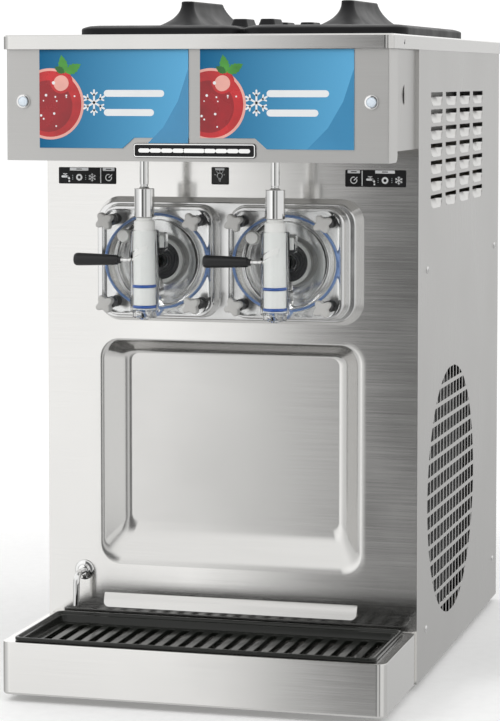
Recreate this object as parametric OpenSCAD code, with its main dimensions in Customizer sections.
/* [Cabinet] */
// Width across the side panels, without the screw heads
cabinet_w = 527; // [500:1:560]
// Depth from the front panel's face to the back edge of the cap
cabinet_d = 640; // [620:1:700]
// Height from the base pan to the lower edge of the cap's lip
cabinet_h = 860; // [850:1:900]
// Height of the rubber feet
foot_h = 10; // [6:1:30]
// Thickness of the cabinet's stainless sheet
sheet_t = 1.5; // [1:0.1:2]

/* [Cap] */
// How far the cap reaches in front of the front panel
cap_out = 175; // [173:1:185]
// Height of the cap's lip
cap_lip_h = 19; // [14:1:30]
// Radius of the cap's front corners
cap_corner_r = 12; // [8:1:14]

/* [Header] */
// How far the header cover stands in front of the front panel
header_out = 169; // [160:1:170]
// Width of the header cover
header_w = 520; // [510:1:521]
// Height of the header cover below the cap's lip
header_h = 147; // [140:1:155]
// Depth of the header cover's side returns
header_return = 47; // [30:1:60]
// Height of the fixed cheeks below the cap's lip
cheek_h = 133; // [120:1:138]

/* [Barrels and doors] */
// Distance between the centres of the two barrels
barrel_pitch = 181; // [178:1:186]
// Height of the barrel centres above the base pan
barrel_z = 573; // [570:1:580]
// Inner diameter of a freezing barrel
barrel_id = 124; // [118:1:124]
// Length of a freezing barrel behind the front panel
barrel_len = 360; // [340:1:365]
// How far the doors' seats stand in front of the front panel
seat_out = 42; // [36:1:44]
// Width of a clear door
door_w = 152; // [148:1:154]
// Height of a clear door
door_h = 142; // [138:1:144]
// Thickness of a clear door
door_t = 12; // [8:1:13]
// Distance between the studs of a door, across
stud_dx = 122; // [118:1:126]
// Distance between the studs of a door, up
stud_dz = 112.5; // [108:0.5:116]

/* [Draw valves] */
// Distance from the front panel to the axis of a valve
valve_out = 100; // [96:1:104]
// Outer diameter of a valve's clear tube
tube_d = 39; // [38:0.5:40]
// Height of the handle's pin above the base pan, at rest
pin_z = 578; // [576:1:582]
// Turn of the handle from closed to open
handle_turn = 115; // [90:1:120]
// Rise of the plunger over that turn
plunger_rise = 18; // [12:1:18]
// Length of the black grip
grip_len = 66; // [60:1:75]

/* [Splash recess] */
// Width of the recess at the front panel
recess_w = 365; // [340:1:368]
// Lower edge of the recess above the base pan
recess_z0 = 151; // [145:1:160]
// Upper edge of the recess
recess_z1 = 459; // [440:1:462]
// Depth of the recess
recess_depth = 26; // [20:1:30]

/* [Drip tray] */
// How far the tray stands in front of the front panel
tray_out = 198; // [180:1:210]
// Width of the tray
tray_w = 525; // [515:1:526]
// Height of the tray
tray_h = 71; // [60:1:74]
// Number of slots in the grille
grille_slots = 22; // [16:1:22]

/* [Lids and hoppers] */
// Width of a lid
lid_w = 232; // [228:1:234]
// Length of a lid, front to back
lid_l = 441; // [420:1:445]
// Distance from the front panel to the lids' front edge
lid_y0 = 45; // [40:1:60]
// Depth of a hopper below the deck
hopper_depth = 138; // [110:1:140]

/* [Vents] */
// Diameter of the round fan vent
vent_d = 356; // [320:1:360]
// Distance between the vent's holes
vent_pitch = 24; // [22:0.5:26]
// Side of one vent hole
vent_hole = 18; // [14:0.5:19]
// Rows of louvres
louvre_rows = 7; // [4:1:7]
// Columns of louvres
louvre_cols = 4; // [2:1:4]

/* [Hidden] */

$fn = 64;
eps = 0.01;
gap = 0.2;

// Levels and planes of the cabinet
half_w = cabinet_w / 2;
deck_z = cabinet_h + cap_lip_h;
lip_t = 1.3;
cap_w = cabinet_w + 2 * (gap + lip_t);
panel_top = deck_z - sheet_t - gap;
rear_y = cabinet_d - gap - lip_t;
gland_out = 8;
front_y = -(rear_y + gland_out - tray_out) / 2;

// Doors, seats and barrels
door_x = barrel_pitch / 2;
door_y = -seat_out - door_t;
seat_w = door_w + 6;
seat_h = door_h + 8;
mouth_d = 138;
mouth_depth = 14;
barrel_t = 2;
shaft_r = 9;
run_fit = 0.05;
stud_r = 4;
stud_len = 34;
insulation_y0 = 4;
insulation_w = 168;
insulation_h = 160;
neck_y = 120;
neck_r = 12;
neck_bore_r = 9.5;
neck_joint_z = barrel_z + barrel_id / 2 + 6;

// Draw valves
tube_wall = 3;
tube_z0 = 508.5;
tube_z1 = 619;
plunger_r = 15;
plunger_z0 = 512.4;
shoulder_z = 631.5;
seal_r = 2;
seal_zs = [516, 543.5];
sleeve_r = 13.5;
sleeve_z0 = 636;
sleeve_z1 = 675;
rod_r = 6;
rod_top = 790;
pin_r = 3.15;
slot_h = 8.6;
slot_steps = 16;

// Hoppers and lids
lid_x = lid_w / 2 + 3;
lid_r = 26;
hopper_w = 212;
hopper_l = 421;
hopper_rim_w = 222;
hopper_rim_l = 431;
hopper_rim_h = 6;
lid_cy = lid_y0 + lid_l / 2;

// Fan and condenser
vent_y = 248;
vent_z = 226;
fan_r = 146;

// Star knobs
knob_front = 92;
knob_head_t = 14;
knob_hub_r = 8;
knob_body_r = 9.4;
knob_lobe_r = 4.2;
knob_lobes = 4;

// ---- helpers ----

// Moves the cabinet's own frame (front panel's face, base pan's underside) to the part's frame
module place() { translate([0, front_y, foot_h]) children(); }

// Rectangle with round corners, centred
module round_rect(w, h, r) {
    square([w - 2 * r, h], center = true);
    square([w, h - 2 * r], center = true);
    for (x = [-1, 1], y = [-1, 1]) translate([x * (w / 2 - r), y * (h / 2 - r)]) circle(r);
}

// Stands a flat outline (x across, y up) on the plane y0 and makes it t thick towards the back
module stand(y0, t) {
    translate([0, y0 + t, 0]) rotate([90, 0, 0]) linear_extrude(t) children();
}

// Turns a flat outline (x = depth, y = up) into a plate from x0, t thick
module side_plate(x0, t) {
    translate([x0, 0, 0]) rotate([90, 0, 90]) linear_extrude(t) children();
}

// Cylinder along Y, from y0 to y1
module y_cyl(r, y0, y1) { translate([0, y1, 0]) rotate([90, 0, 0]) cylinder(r = r, h = y1 - y0); }

// Cylinder along X, from x0 to x1
module x_cyl(r, x0, x1) { translate([x0, 0, 0]) rotate([0, 90, 0]) cylinder(r = r, h = x1 - x0); }

module at_stud(door, i) {
    translate([door * door_x + (i % 2 == 0 ? -1 : 1) * stud_dx / 2, 0,
        barrel_z + (i < 2 ? 1 : -1) * stud_dz / 2]) children();
}

module at_barrel(side) { translate([side * door_x, 0, barrel_z]) children(); }

module at_valve(side) { translate([side * door_x, -valve_out, 0]) children(); }

// ---- cabinet ----

pan_w = cabinet_w - 2 * (sheet_t + gap);
pan_y0 = sheet_t + gap;
pan_y1 = rear_y - sheet_t - gap;
pan_h = 20;

module base_pan() {
    color("gainsboro") difference() {
        translate([-pan_w / 2, pan_y0, 0]) cube([pan_w, pan_y1 - pan_y0, pan_h]);
        translate([-pan_w / 2 + sheet_t, pan_y0 + sheet_t, sheet_t])
            cube([pan_w - 2 * sheet_t, pan_y1 - pan_y0 - 2 * sheet_t, pan_h]);
    }
}

post = 25;
post_x = pan_w / 2 - sheet_t - 0.3;
post_y0 = pan_y0 + sheet_t + 0.3;
post_y1 = pan_y1 - sheet_t - 0.3;
frame_top = 870;
saddle_z = barrel_z - insulation_h / 2;

module chassis_frame() {
    color("dimgray") {
        for (side = [-1, 1]) {
            x0 = side < 0 ? -post_x : post_x - post;
            for (y = [post_y0, post_y1 - post])
                translate([x0, y, sheet_t]) cube([post, post, frame_top - sheet_t]);
            for (z = [saddle_z - post, frame_top - post])
                translate([x0, post_y0, z]) cube([post, post_y1 - post_y0, post]);
        }
        for (y = [post_y0, post_y1 - post])
            translate([-post_x, y, frame_top - post]) cube([2 * post_x, post, post]);
        for (y = [60, 320])
            translate([-post_x, y, saddle_z - post]) cube([2 * post_x, post, post]);
    }
}

foot_r = 20;
foot_xs = [-200, 200];
foot_ys = [60, 580];

module feet() {
    color("black") for (x = foot_xs, y = foot_ys)
        translate([x, y, -foot_h]) cylinder(r1 = foot_r - 2, r2 = foot_r, h = foot_h);
}

recess_mid_z = (recess_z0 + recess_z1) / 2;
recess_h = recess_z1 - recess_z0;
recess_floor_w = recess_w - 52;
recess_floor_h = recess_h - 56;
recess_floor_z = recess_mid_z + 12;
recess_r = 26;
recess_floor_r = 14;

// Drafted pan of the splash recess, grown by wall all over
module recess_form(wall, y_end) {
    hull() {
        translate([0, 0, recess_mid_z])
            stand(0, eps) round_rect(recess_w + 2 * wall, recess_h + 2 * wall, recess_r);
        translate([0, 0, recess_floor_z])
            stand(y_end, eps)
                round_rect(recess_floor_w + 2 * wall, recess_floor_h + 2 * wall, recess_floor_r);
    }
}

window_w = 356;
window_h = 150;
key_x = -13;
key_z = 688.5;
key_w = 24;
key_h = 23;
key_travel = 1.5;

module front_panel() {
    color("lightgray") difference() {
        union() {
            difference() {
                translate([-half_w, 0, 0]) cube([cabinet_w, sheet_t, panel_top]);
                translate([0, 0, barrel_z]) stand(-1, 4) round_rect(window_w, window_h, 20);
                translate([key_x - key_w / 2 - 0.5, -1, key_z - key_h / 2 - 0.5])
                    cube([key_w + 1, 4, key_h + 1]);
            }
            recess_form(sheet_t, recess_depth + sheet_t);
        }
        recess_form(0, recess_depth);
        translate([0, 0, recess_mid_z]) stand(-1, 1 + eps) round_rect(recess_w, recess_h, recess_r);
    }
}

lip_w = 362;
lip_z = 103;
lip_drop = 20;
lip_tilt = 22;

lip_flange_h = 9;

// Bent strip over the tray's rear edge: a flange on the panel and a tilted lip
module deflector_lip() {
    color("whitesmoke") translate([0, -gap, lip_z]) {
        translate([-lip_w / 2 + 8, -sheet_t, -lip_flange_h])
            cube([lip_w - 16, sheet_t, lip_flange_h + 1]);
        rotate([-lip_tilt, 0, 0]) translate([0, -sheet_t, -lip_drop / 2])
            rotate([90, 0, 0]) linear_extrude(sheet_t) {
                round_rect(lip_w, lip_drop, 8);
                translate([-lip_w / 2, 0]) square([lip_w, lip_drop / 2]);
            }
    }
}

louvre_y0 = 84;
louvre_pitch_y = 107.7;
louvre_w = 83;
louvre_slot = 6.5;
louvre_z = 796;
louvre_pitch_z = 23.6;

module side_outline() {
    difference() {
        translate([sheet_t + 0.1, 0]) square([rear_y - sheet_t - 0.1, panel_top]);
        for (c = [0 : louvre_cols - 1], r = [0 : louvre_rows - 1])
            translate([louvre_y0 + c * louvre_pitch_y, louvre_z - r * louvre_pitch_z])
                square([louvre_w, louvre_slot]);
        intersection() {
            translate([vent_y, vent_z]) circle(d = vent_d, $fn = 128);
            for (i = [-7 : 7], j = [-7 : 7])
                if (norm([max(0, abs(i) - 0.5), max(0, abs(j) - 0.5)]) * vent_pitch < vent_d / 2 - 3)
                    translate([vent_y + i * vent_pitch - vent_hole / 2,
                        vent_z + j * vent_pitch - vent_hole / 2]) square(vent_hole);
        }
    }
}

module side_panel_left() {
    color("silver") side_plate(-half_w, sheet_t) side_outline();
}

module side_panel_right() {
    color("silver") side_plate(half_w - sheet_t, sheet_t) side_outline();
}

gland_x = -180;
gland_z = 60;
gland_r = 11;

rear_louvre_w = 90;
rear_louvre_pitch = 130;
rear_louvre_z = 180;

module rear_panel() {
    inner_w = cabinet_w - 2 * sheet_t - 2 * gap;
    color("silver") difference() {
        translate([-inner_w / 2, rear_y - sheet_t, 0]) cube([inner_w, sheet_t, panel_top]);
        for (c = [-1 : 1], r = [0 : louvre_rows - 1])
            translate([c * rear_louvre_pitch - rear_louvre_w / 2, rear_y - 3,
                rear_louvre_z + r * louvre_pitch_z]) cube([rear_louvre_w, 6, louvre_slot]);
        translate([gland_x, 0, gland_z]) y_cyl(gland_r - 3, rear_y - 3, rear_y + 3);
    }
}

module cap_outline(inset) {
    r = cap_corner_r - inset;
    w = cap_w - 2 * inset;
    translate([-w / 2, -cap_out + inset + r])
        square([w, cabinet_d + cap_out - inset - r]);
    translate([-w / 2 + r, -cap_out + inset]) square([w - 2 * r, 2 * r]);
    for (x = [-1, 1]) translate([x * (w / 2 - r), -cap_out + inset + r]) circle(r);
}

module top_cap() {
    color("lightgray") difference() {
        translate([0, 0, cabinet_h]) linear_extrude(cap_lip_h) cap_outline(0);
        translate([0, 0, cabinet_h - 1]) linear_extrude(cap_lip_h + 1 - sheet_t) difference() {
            cap_outline(lip_t);
            translate([-cap_w, rear_y + gap]) square([2 * cap_w, 20]);
        }
        for (side = [-1, 1]) translate([side * lid_x, lid_cy, deck_z - 5])
            linear_extrude(10) round_rect(hopper_w + 2, hopper_l + 2, 20);
    }
}

// ---- header ----

header_z0 = cabinet_h - header_h;
cheek_z0 = cabinet_h - cheek_h;
cheek_x = header_w / 2 - sheet_t - 0.3;
return_r = 10;

module header_cover() {
    color("lightgray") {
        translate([-header_w / 2, -header_out, header_z0])
            cube([header_w, sheet_t, panel_top - header_z0]);
        translate([-header_w / 2, -header_out, header_z0]) cube([header_w, 12, sheet_t]);
        for (x = [-header_w / 2, header_w / 2 - sheet_t])
            side_plate(x, sheet_t) {
                translate([-header_out, header_z0])
                    square([header_return - return_r, panel_top - header_z0]);
                translate([-header_out, header_z0 + return_r])
                    square([header_return, panel_top - header_z0 - return_r]);
                translate([-header_out + header_return - return_r, header_z0 + return_r])
                    circle(return_r);
            }
    }
}

louvre_hole_z = 800;
louvre_hole_y = -72;

module header_cheeks() {
    color("silver") for (x = [-cheek_x, cheek_x - sheet_t])
        side_plate(x, sheet_t) difference() {
            translate([-header_out + 10, cheek_z0])
                square([header_out - 10 - gap, panel_top - cheek_z0]);
            translate([louvre_hole_y, louvre_hole_z - 13]) square([3, 26]);
        }
}

module valve_bridge() {
    w = 2 * (cheek_x - sheet_t - gap);
    color("silver") difference() {
        union() {
            translate([-w / 2, -150, cheek_z0]) cube([w, 150 - gap, sheet_t]);
            for (side = [-1, 1]) at_valve(side) translate([0, 0, cheek_z0]) cylinder(r = 12, h = 30);
        }
        for (side = [-1, 1]) at_valve(side)
            translate([0, 0, cheek_z0 - 1]) cylinder(r = rod_r + run_fit, h = 40);
    }
}

sign_x0 = 8;
sign_x1 = 213;
sign_z0 = 730;
sign_step_z = 744.5;

// Outline of the right sign: its inner lower corner steps up to clear the badge
module sign_outline() {
    polygon([[sign_x0, sign_step_z], [82, sign_step_z], [98, sign_z0],
        [sign_x1, sign_z0], [sign_x1, cabinet_h - 0.5], [sign_x0, cabinet_h - 0.5]]);
}

module sign_panels() {
    color("steelblue") {
        stand(-header_out - 2, 2) sign_outline();
        mirror([1, 0, 0]) stand(-header_out - 2, 2) sign_outline();
    }
}

badge_w = 166;
badge_h = 19;
badge_t = 3;
badge_z = 727.5;

module name_badge() {
    color("dimgray") translate([0, 0, badge_z])
        stand(-header_out - badge_t, badge_t) round_rect(badge_w, badge_h, 4);
}

lamp_x = 236;
lamp_z = 791;
lamp_r = 9.5;
lamp_lens_r = 5.7;

module indicator_lamps() {
    color("white") for (side = [-1, 1]) translate([side * lamp_x, 0, lamp_z]) {
        y_cyl(lamp_r, -header_out - 3, -header_out);
        y_cyl(lamp_lens_r, -header_out - 4, -header_out - 3);
    }
}

overlay_x = 204.5;
overlay_z = 687;
overlay_w = 84;
overlay_h = 23;
overlay_t = 0.8;

module control_overlays() {
    color("dimgray") for (side = [-1, 1]) translate([side * overlay_x, 0, overlay_z])
        stand(-overlay_t, overlay_t) round_rect(overlay_w, overlay_h, 1.5);
}

module light_key() {
    color("black") translate([key_x - key_w / 2, -2.5, key_z - key_h / 2]) cube([key_w, 8, key_h]);
}

// ---- barrels ----

surround_w = 378;
surround_h = 172;
surround_step = 24;

// The pressed surround's outer form, pulled in by inset
module surround_form(inset) {
    hull() {
        stand(-eps + inset, eps) round_rect(surround_w - 2 * inset, surround_h - 2 * inset, 32 - inset);
        stand(-surround_step + inset, eps)
            round_rect(surround_w - 14 - 2 * inset, surround_h - 12 - 2 * inset, 28 - inset);
    }
    for (side = [-1, 1]) translate([side * door_x, 0, 0]) hull() {
        stand(-surround_step + inset, eps)
            round_rect(seat_w + 10 - 2 * inset, seat_h + 4 - 2 * inset, 26 - inset);
        stand(-seat_out + inset, eps) round_rect(seat_w - 2 * inset, seat_h - 2 * inset, 22 - inset);
    }
}

module barrel_surround() {
    color("gainsboro") difference() {
        translate([0, 0, barrel_z]) surround_form(0);
        translate([0, 0, barrel_z]) surround_form(sheet_t);
        translate([0, 0, barrel_z]) stand(-eps - sheet_t, 5)
            round_rect(surround_w - 2 * sheet_t, surround_h - 2 * sheet_t, 30);
        for (side = [-1, 1]) at_barrel(side) y_cyl(mouth_d / 2 + 1, -seat_out - 2, 2);
        for (side = [-1, 1], i = [0 : 3]) at_stud(side, i) y_cyl(stud_r + 0.5, -seat_out - 2, 2);
    }
}

flange_y = -seat_out + sheet_t + 0.3;

module freezing_barrels() {
    color("silver") for (side = [-1, 1]) difference() {
        union() {
            at_barrel(side) {
                y_cyl(barrel_id / 2 + barrel_t, flange_y + 1, barrel_len);
                y_cyl(mouth_d / 2 + 2, flange_y, -seat_out + mouth_depth + 2);
                stand(flange_y, 3) round_rect(seat_w - 6, seat_h - 6, 18);
            }
            translate([side * door_x, neck_y, barrel_z]) cylinder(r = neck_r, h = neck_joint_z - barrel_z);
        }
        at_barrel(side) {
            y_cyl(barrel_id / 2, -seat_out, barrel_len - 4);
            y_cyl(mouth_d / 2, -seat_out, -seat_out + mouth_depth);
            y_cyl(shaft_r + run_fit, 0, barrel_len + 1);
        }
        translate([side * door_x, neck_y, barrel_z]) cylinder(r = neck_bore_r, h = 100);
    }
}

module barrel_insulation() {
    color("khaki") for (side = [-1, 1]) difference() {
        at_barrel(side) translate([-insulation_w / 2, insulation_y0, -insulation_h / 2])
            cube([insulation_w, barrel_len - 12, insulation_h]);
        at_barrel(side) y_cyl(barrel_id / 2 + barrel_t + 1, 0, barrel_len);
        translate([side * door_x, neck_y, barrel_z]) cylinder(r = neck_r + 0.5, h = 100);
    }
}

module hopper(side) {
    floor_z = deck_z - hopper_depth;
    difference() {
        union() {
            translate([side * lid_x, lid_cy, floor_z])
                linear_extrude(hopper_depth + hopper_rim_h) round_rect(hopper_w, hopper_l, 18);
            translate([side * lid_x, lid_cy, deck_z])
                linear_extrude(hopper_rim_h) round_rect(hopper_rim_w, hopper_rim_l, 22);
            translate([side * door_x, neck_y, neck_joint_z])
                cylinder(r = neck_r, h = floor_z - neck_joint_z + 1);
        }
        translate([side * lid_x, lid_cy, floor_z + sheet_t])
            linear_extrude(hopper_depth + 20)
                round_rect(hopper_w - 2 * sheet_t, hopper_l - 2 * sheet_t, 16.5);
        translate([side * door_x, neck_y, neck_joint_z - 1]) cylinder(r = neck_bore_r, h = 200);
    }
}

module hoppers() {
    color("silver") for (side = [-1, 1]) hopper(side);
}

ridge_top_z = 933;
bump_y = 117;

// Lid with a ridge handle; its inner edge faces -X
module lid() {
    skirt_z = deck_z + 1;
    top_z = deck_z + 13;
    difference() {
        union() {
            translate([0, 0, skirt_z]) linear_extrude(top_z - skirt_z) round_rect(lid_w, lid_l, lid_r);
            translate([0, 0, top_z - eps]) hull() {
                linear_extrude(eps) round_rect(lid_w - 6, lid_l - 6, lid_r - 3, $fn = 32);
                linear_extrude(4) round_rect(lid_w - 30, lid_l - 30, lid_r - 12, $fn = 32);
            }
            hull() {
                translate([0, 35, top_z + 3]) linear_extrude(eps) round_rect(64, 300, 20, $fn = 32);
                translate([0, 15, ridge_top_z - 3]) linear_extrude(3) round_rect(19, 171, 4, $fn = 32);
            }
            for (y = [-bump_y, bump_y]) translate([-lid_w / 2 + 17, y, top_z]) hull() {
                linear_extrude(6) round_rect(29, 62, 6, $fn = 32);
                linear_extrude(13.5) round_rect(19, 50, 6, $fn = 32);
            }
        }
        translate([0, 0, skirt_z - 1])
            linear_extrude(hopper_rim_h + 0.3) round_rect(lid_w - 5, lid_l - 5, lid_r - 2.5);
    }
}

module lid_left() { color("black") translate([-lid_x, lid_cy, 0]) mirror([1, 0, 0]) lid(); }
module lid_right() { color("black") translate([lid_x, lid_cy, 0]) lid(); }

// ---- doors ----

prime_x = -42;
prime_z = 35;
prime_r = 5;
plug_d = barrel_id - 1;
plug_depth = 22;
plug_wall = 6;
bond_t = 0.02;
pin_end_y = 0;
port_z = 530;
port_r = 8;
outlet_r = 16;
outlet_h = 7.5;
block_w = 26;
block_h = 42;
web_t = 6;
web_z = 590;
web_h = 24;

module valve_slot() {
    for (i = [0 : slot_steps])
        rotate([0, 0, 180 + i * handle_turn / slot_steps])
            translate([tube_d / 2 - tube_wall - 3, -3.2, pin_z - slot_h / 2 + i * plunger_rise / slot_steps])
                cube([tube_wall + 6, 6.4, slot_h]);
}

// Clear plate; the ring that seals the barrel's mouth and the beater's pivot pin are bonded to it
module barrel_door(side) {
    difference() {
        at_barrel(side) stand(door_y, door_t) round_rect(door_w, door_h, 20);
        translate([side * door_x, 0, port_z]) y_cyl(port_r, door_y - 1, 0);
        at_barrel(side) translate([prime_x, 0, prime_z]) y_cyl(prime_r + run_fit, door_y - 1, 0);
        for (i = [0 : 3]) at_stud(side, i) y_cyl(stud_r + 0.5, door_y - 1, 0);
    }
    at_barrel(side) {
        difference() {
            y_cyl(plug_d / 2, -seat_out + bond_t, -seat_out + plug_depth);
            y_cyl(plug_d / 2 - plug_wall, -seat_out - 1, -seat_out + plug_depth + 1);
        }
        y_cyl(shaft_r - run_fit, -seat_out + bond_t, pin_end_y);
    }
}

// Clear tube the plunger runs in, with its outlet and the block that joins it to the door
module valve_tube(side) {
    reach = valve_out + door_y;
    at_valve(side) difference() {
        union() {
            translate([0, 0, tube_z0]) cylinder(d = tube_d, h = tube_z1 - tube_z0);
            translate([0, 0, tube_z0 - outlet_h]) cylinder(r = outlet_r, h = outlet_h + 1);
            translate([-block_w / 2, 0, tube_z0]) cube([block_w, reach, block_h]);
            translate([-web_t / 2, 0, web_z]) cube([web_t, reach, web_h]);
        }
        translate([0, 0, tube_z0 + 1.5]) cylinder(r = tube_d / 2 - tube_wall, h = 200);
        translate([0, 0, tube_z0 - outlet_h - 1]) cylinder(r = outlet_r - 4, h = outlet_h + 10);
        translate([0, 0, port_z]) y_cyl(port_r, 0, reach + 1);
        valve_slot();
    }
}

module barrel_doors() { color("azure") for (side = [-1, 1]) barrel_door(side); }
module valve_tubes() { color("azure") for (side = [-1, 1]) valve_tube(side); }

module door_gaskets() {
    color("royalblue") for (side = [-1, 1]) at_barrel(side) difference() {
        y_cyl(mouth_d / 2 - 0.3, -seat_out, -seat_out + mouth_depth - 0.3);
        y_cyl(plug_d / 2 + 0.3, -seat_out - 1, -seat_out + mouth_depth + 1);
    }
}

module door_studs() {
    color("silver") for (side = [-1, 1], i = [0 : 3])
        at_stud(side, i) y_cyl(stud_r, flange_y - stud_len, flange_y);
}

module star_knob(door, i) {
    color("gainsboro") at_stud(door, i) difference() {
        union() {
            y_cyl(knob_hub_r, -knob_front + knob_head_t - 1, door_y - 0.3);
            stand(-knob_front, knob_head_t) rotate(18 * i + 10 * door) {
                circle(knob_body_r);
                for (k = [1 : knob_lobes]) rotate(360 / knob_lobes * k)
                    translate([knob_body_r - 0.4, 0]) circle(knob_lobe_r);
            }
        }
        y_cyl(stud_r + run_fit, flange_y - stud_len - 2, 0);
    }
}

module prime_plug(side) {
    color("white") at_barrel(side) translate([prime_x, 0, prime_z]) {
        y_cyl(prime_r, door_y - 2, -seat_out - 0.2);
        y_cyl(8.2, door_y - 11, door_y - 0.4);
    }
}

// ---- draw valves ----

module valve_rod(side) {
    color("silver") at_valve(side) difference() {
        union() {
            translate([0, 0, sleeve_z0]) cylinder(r = sleeve_r, h = sleeve_z1 - sleeve_z0);
            translate([0, 0, sleeve_z1 - 1]) cylinder(r = rod_r, h = rod_top - sleeve_z1 + 1);
        }
        translate([0, 0, sleeve_z0 - 1]) cylinder(r = rod_r + run_fit, h = 17);
    }
}

module plunger(side) {
    color("white") at_valve(side) difference() {
        union() {
            translate([0, 0, plunger_z0]) cylinder(r = plunger_r, h = tube_z1 - plunger_z0);
            translate([0, 0, tube_z1 - 1]) cylinder(r = plunger_r - 1, h = shoulder_z - tube_z1 + 1);
            translate([0, 0, shoulder_z - 1]) cylinder(r = 11, h = sleeve_z0 - shoulder_z + 0.8);
            translate([0, 0, sleeve_z0 - 1]) cylinder(r = rod_r, h = 15);
        }
        for (z = seal_zs) translate([0, 0, z - seal_r - 0.1]) difference() {
            cylinder(r = plunger_r + 1, h = 2 * seal_r + 0.2);
            translate([0, 0, -1]) cylinder(r = plunger_r - 3, h = 2 * seal_r + 3);
        }
        translate([0, 0, pin_z]) x_cyl(pin_r + 0.1, -plunger_r - 1, -4);
    }
}

module plunger_seals(side) {
    color("blue") at_valve(side) for (z = seal_zs)
        translate([0, 0, z]) rotate_extrude() translate([plunger_r - 0.8, 0]) circle(seal_r);
}

pin_reach = 50;
grip_x = -33;
grip_r0 = 6.6;
grip_r1 = 8.7;

module handle_pin(side) {
    color("silver") at_valve(side) translate([0, 0, pin_z]) x_cyl(pin_r, -pin_reach, -4.2);
}

module handle_grip(side) {
    color("black") at_valve(side) translate([grip_x, 0, pin_z]) rotate([0, -90, 0])
        difference() {
            union() {
                cylinder(r = 4.6, h = 5);
                translate([0, 0, 4]) cylinder(r1 = grip_r0, r2 = grip_r1, h = grip_len - 8);
                translate([0, 0, grip_len - 4.01]) cylinder(r1 = grip_r1, r2 = grip_r1 - 2.5, h = 4);
            }
            translate([0, 0, -1]) cylinder(r = pin_r + 0.1, h = pin_reach + grip_x + 1.5);
        }
}

// ---- beaters ----

beater_y0 = -10;
beater_y1 = barrel_len - 12;
beater_hub_r = 27;
spider_t = 12;
bar_r = 4;
bar_orbit = 48;

// Four long bars between two spiders, with the drive shaft behind
module beater(side) {
    color("silver") at_barrel(side) {
        difference() {
            union() {
                y_cyl(beater_hub_r, beater_y0, beater_y0 + spider_t);
                for (a = [0 : 90 : 270]) rotate([0, a, 0]) {
                    translate([0, beater_y0, -bar_r]) cube([bar_orbit, spider_t, 2 * bar_r]);
                    translate([bar_orbit, 0, 0]) y_cyl(bar_r, beater_y0, beater_y1);
                    translate([0, beater_y1 - spider_t, -bar_r]) cube([bar_orbit, spider_t, 2 * bar_r]);
                }
            }
            y_cyl(shaft_r, -seat_out, beater_y0 + 20);
        }
        y_cyl(16, beater_y1 - 16, beater_y1);
        y_cyl(shaft_r, beater_y1 - 1, barrel_len + 60);
    }
}

module scraper(side) {
    color("white") at_barrel(side) for (a = [0, 180]) rotate([0, a, 0])
        translate([bar_orbit + bar_r, beater_y0 + 4, -8]) cube([barrel_id / 2 - bar_orbit - bar_r - 1.5,
            beater_y1 - beater_y0 - 8, 16]);
}

gearbox_w = 110;
gearbox_l = 80;
gearbox_h = 120;
motor_r = 50;
motor_l = 150;

module beater_motors() {
    color("dimgray") for (side = [-1, 1]) at_barrel(side) difference() {
        union() {
            translate([-gearbox_w / 2, barrel_len, -gearbox_h / 2])
                cube([gearbox_w, gearbox_l, gearbox_h]);
            y_cyl(motor_r, barrel_len + gearbox_l - 1, barrel_len + gearbox_l + motor_l);
        }
        y_cyl(shaft_r + 2 * run_fit, barrel_len - 1, barrel_len + 62);
    }
}

// ---- refrigeration ----

shell_r = 78;
shell_z0 = 19;
shell_z1 = 189;

// Welded shell with a domed top and a terminal box, on a plate and four rubber mounts
module compressor() {
    color("black") translate([-110, 320, 0]) {
        for (x = [-70, 70], y = [-60, 60]) translate([x, y, sheet_t]) cylinder(r = 11, h = 14.5);
        translate([-90, -80, 16]) cube([180, 160, 4]);
        translate([0, 0, shell_z0]) cylinder(r = shell_r, h = shell_z1 - shell_z0);
        translate([0, 0, shell_z1 - 0.1]) cylinder(r1 = shell_r, r2 = 45, h = 26);
        translate([shell_r - 18, 0, 60]) cube([40, 50, 50]);
    }
}

core_x0 = 196;
core_x1 = 250;
core_l = 310;
core_h = 330;
ring_x0 = 150;
fan_x0 = 156;

// Finned core behind the round vent, with the fan's ring, motor and three arms on it
module condenser() {
    color("darkgray") translate([0, vent_y, vent_z]) {
        translate([core_x0, -core_l / 2, -core_h / 2]) cube([core_x1 - core_x0, core_l, core_h]);
        difference() {
            x_cyl(fan_r + 8, ring_x0, core_x0 + 1);
            x_cyl(fan_r + 4, ring_x0 - 1, core_x0 + 2);
        }
        x_cyl(36, 84, 136);
        x_cyl(4, 130, core_x0 + 1);
        for (a = [30 : 120 : 270]) rotate([a, 0, 0]) {
            translate([126, -8, 30]) cube([6, 16, fan_r - 24]);
            translate([126, -8, fan_r + 4.5]) cube([28, 16, 3]);
        }
        for (y = [-140, 120])
            translate([core_x0 + 10, y, sheet_t - vent_z]) cube([30, 20, vent_z - core_h / 2 + 1]);
    }
}

module condenser_fan() {
    color("black") translate([0, vent_y, vent_z]) difference() {
        union() {
            x_cyl(34, fan_x0, fan_x0 + 32);
            for (k = [0 : 4]) rotate([72 * k, 0, 0])
                translate([fan_x0 + 16, 0, 25]) rotate([0, 0, 28])
                    translate([-1.5, -30, 0]) cube([3, 60, fan_r - 32]);
        }
        x_cyl(4 + run_fit, fan_x0 - 1, fan_x0 + 40);
    }
}

// ---- spout, tray, fittings ----

spout_x = -211;
spout_z = 134;
spout_r = 4.5;
spout_bend = 14;
spout_out = 22;
spout_drop = 30;

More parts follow.
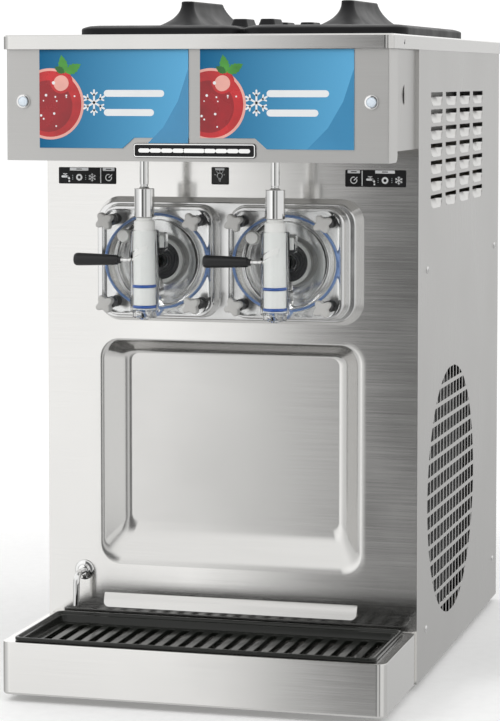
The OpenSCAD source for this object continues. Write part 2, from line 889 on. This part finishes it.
module drain_spout() {
    color("silver") translate([spout_x, 0, spout_z]) {
        y_cyl(14, -3, -gap);
        y_cyl(8, -7, -2);
        difference() {
            union() {
                y_cyl(spout_r, -spout_out, -6);
                translate([0, -spout_out, -spout_bend]) rotate([0, 90, 0]) rotate([0, 0, 180])
                    rotate_extrude(angle = 90) translate([spout_bend, 0]) circle(spout_r);
                translate([0, -spout_out - spout_bend, -spout_bend - spout_drop])
                    cylinder(r = spout_r, h = spout_drop);
            }
            translate([0, -spout_out - spout_bend, -spout_bend - spout_drop - 1])
                cylinder(r = spout_r - 1.2, h = spout_drop);
        }
    }
}

tray_r = 13;
tray_d = tray_out - gap;
tray_cy = -gap - tray_d / 2;
tray_rim = 8;
grille_w = 496;
grille_d = 182;
grille_lip_h = 5;
grille_floor_z = 63;
grille_pitch = 21;

module drip_tray() {
    color("lightgray") difference() {
        translate([0, tray_cy, 0]) linear_extrude(tray_h) round_rect(tray_w, tray_d, tray_r);
        translate([0, tray_cy, sheet_t]) linear_extrude(tray_h)
            round_rect(grille_w - 9, grille_d - 9, tray_r - 3);
    }
}

module drip_grille() {
    color("black") translate([0, tray_cy, 0]) difference() {
        union() {
            translate([0, 0, tray_h + gap]) linear_extrude(grille_lip_h)
                round_rect(grille_w, grille_d, tray_r - 2);
            translate([0, 0, grille_floor_z - 6]) linear_extrude(tray_h - grille_floor_z + 8)
                round_rect(grille_w - 10, grille_d - 10, tray_r - 4);
        }
        translate([0, 0, grille_floor_z]) linear_extrude(50)
            round_rect(grille_w - 26, grille_d - 26, tray_r - 6);
        for (i = [0 : grille_slots - 1])
            translate([(i - (grille_slots - 1) / 2) * grille_pitch - 5, -grille_d / 2 + 22, 0])
                cube([10, grille_d - 44, 100]);
    }
}

module power_gland() {
    color("black") translate([gland_x, 0, gland_z]) difference() {
        union() {
            y_cyl(gland_r, rear_y, rear_y + gland_out);
            y_cyl(gland_r - 3.2, rear_y - 16, rear_y + 1);
        }
        y_cyl(4.5, rear_y - 20, rear_y + 20);
    }
}

screw_r = 5;
screw_head_t = 2;
screw_zs = [63, 560];

module panel_screws() {
    color("silver") for (z = screw_zs) {
        for (y = [63, 600]) {
            translate([0, y, z]) x_cyl(screw_r, half_w, half_w + screw_head_t);
            translate([0, y, z]) x_cyl(screw_r, -half_w - screw_head_t, -half_w);
        }
        for (x = [-240, 0, 240]) translate([x, 0, z]) y_cyl(screw_r, rear_y, rear_y + screw_head_t);
    }
}

// ---- assembly ----

place() base_pan();
place() chassis_frame();
place() feet();
place() front_panel();
place() deflector_lip();
place() side_panel_left();
place() side_panel_right();
place() rear_panel();
place() top_cap();
place() header_cover();
place() header_cheeks();
place() valve_bridge();
place() sign_panels();
place() name_badge();
place() indicator_lamps();
place() control_overlays();
place() light_key();
place() barrel_surround();
place() freezing_barrels();
place() barrel_insulation();
place() hoppers();
place() lid_left();
place() lid_right();
place() barrel_doors();
place() valve_tubes();
place() door_gaskets();
place() door_studs();
for (i = [0 : 7])
    place() star_knob(i < 4 ? -1 : 1, i % 4);
place() prime_plug(-1);  // prime_plug_left
place() prime_plug(1);  // prime_plug_right
place() valve_rod(-1);  // valve_rod_left
place() valve_rod(1);  // valve_rod_right
place() plunger(-1);  // plunger_left
place() plunger(1);  // plunger_right
place() plunger_seals(-1);  // plunger_seals_left
place() plunger_seals(1);  // plunger_seals_right
place() handle_pin(-1);  // handle_pin_left
place() handle_pin(1);  // handle_pin_right
place() handle_grip(-1);  // handle_grip_left
place() handle_grip(1);  // handle_grip_right
place() beater(-1);  // beater_left
place() beater(1);  // beater_right
place() scraper(-1);  // scraper_left
place() scraper(1);  // scraper_right
place() beater_motors();
place() compressor();
place() condenser();
place() condenser_fan();
place() drain_spout();
place() drip_tray();
place() drip_grille();
place() power_gland();
place() panel_screws();
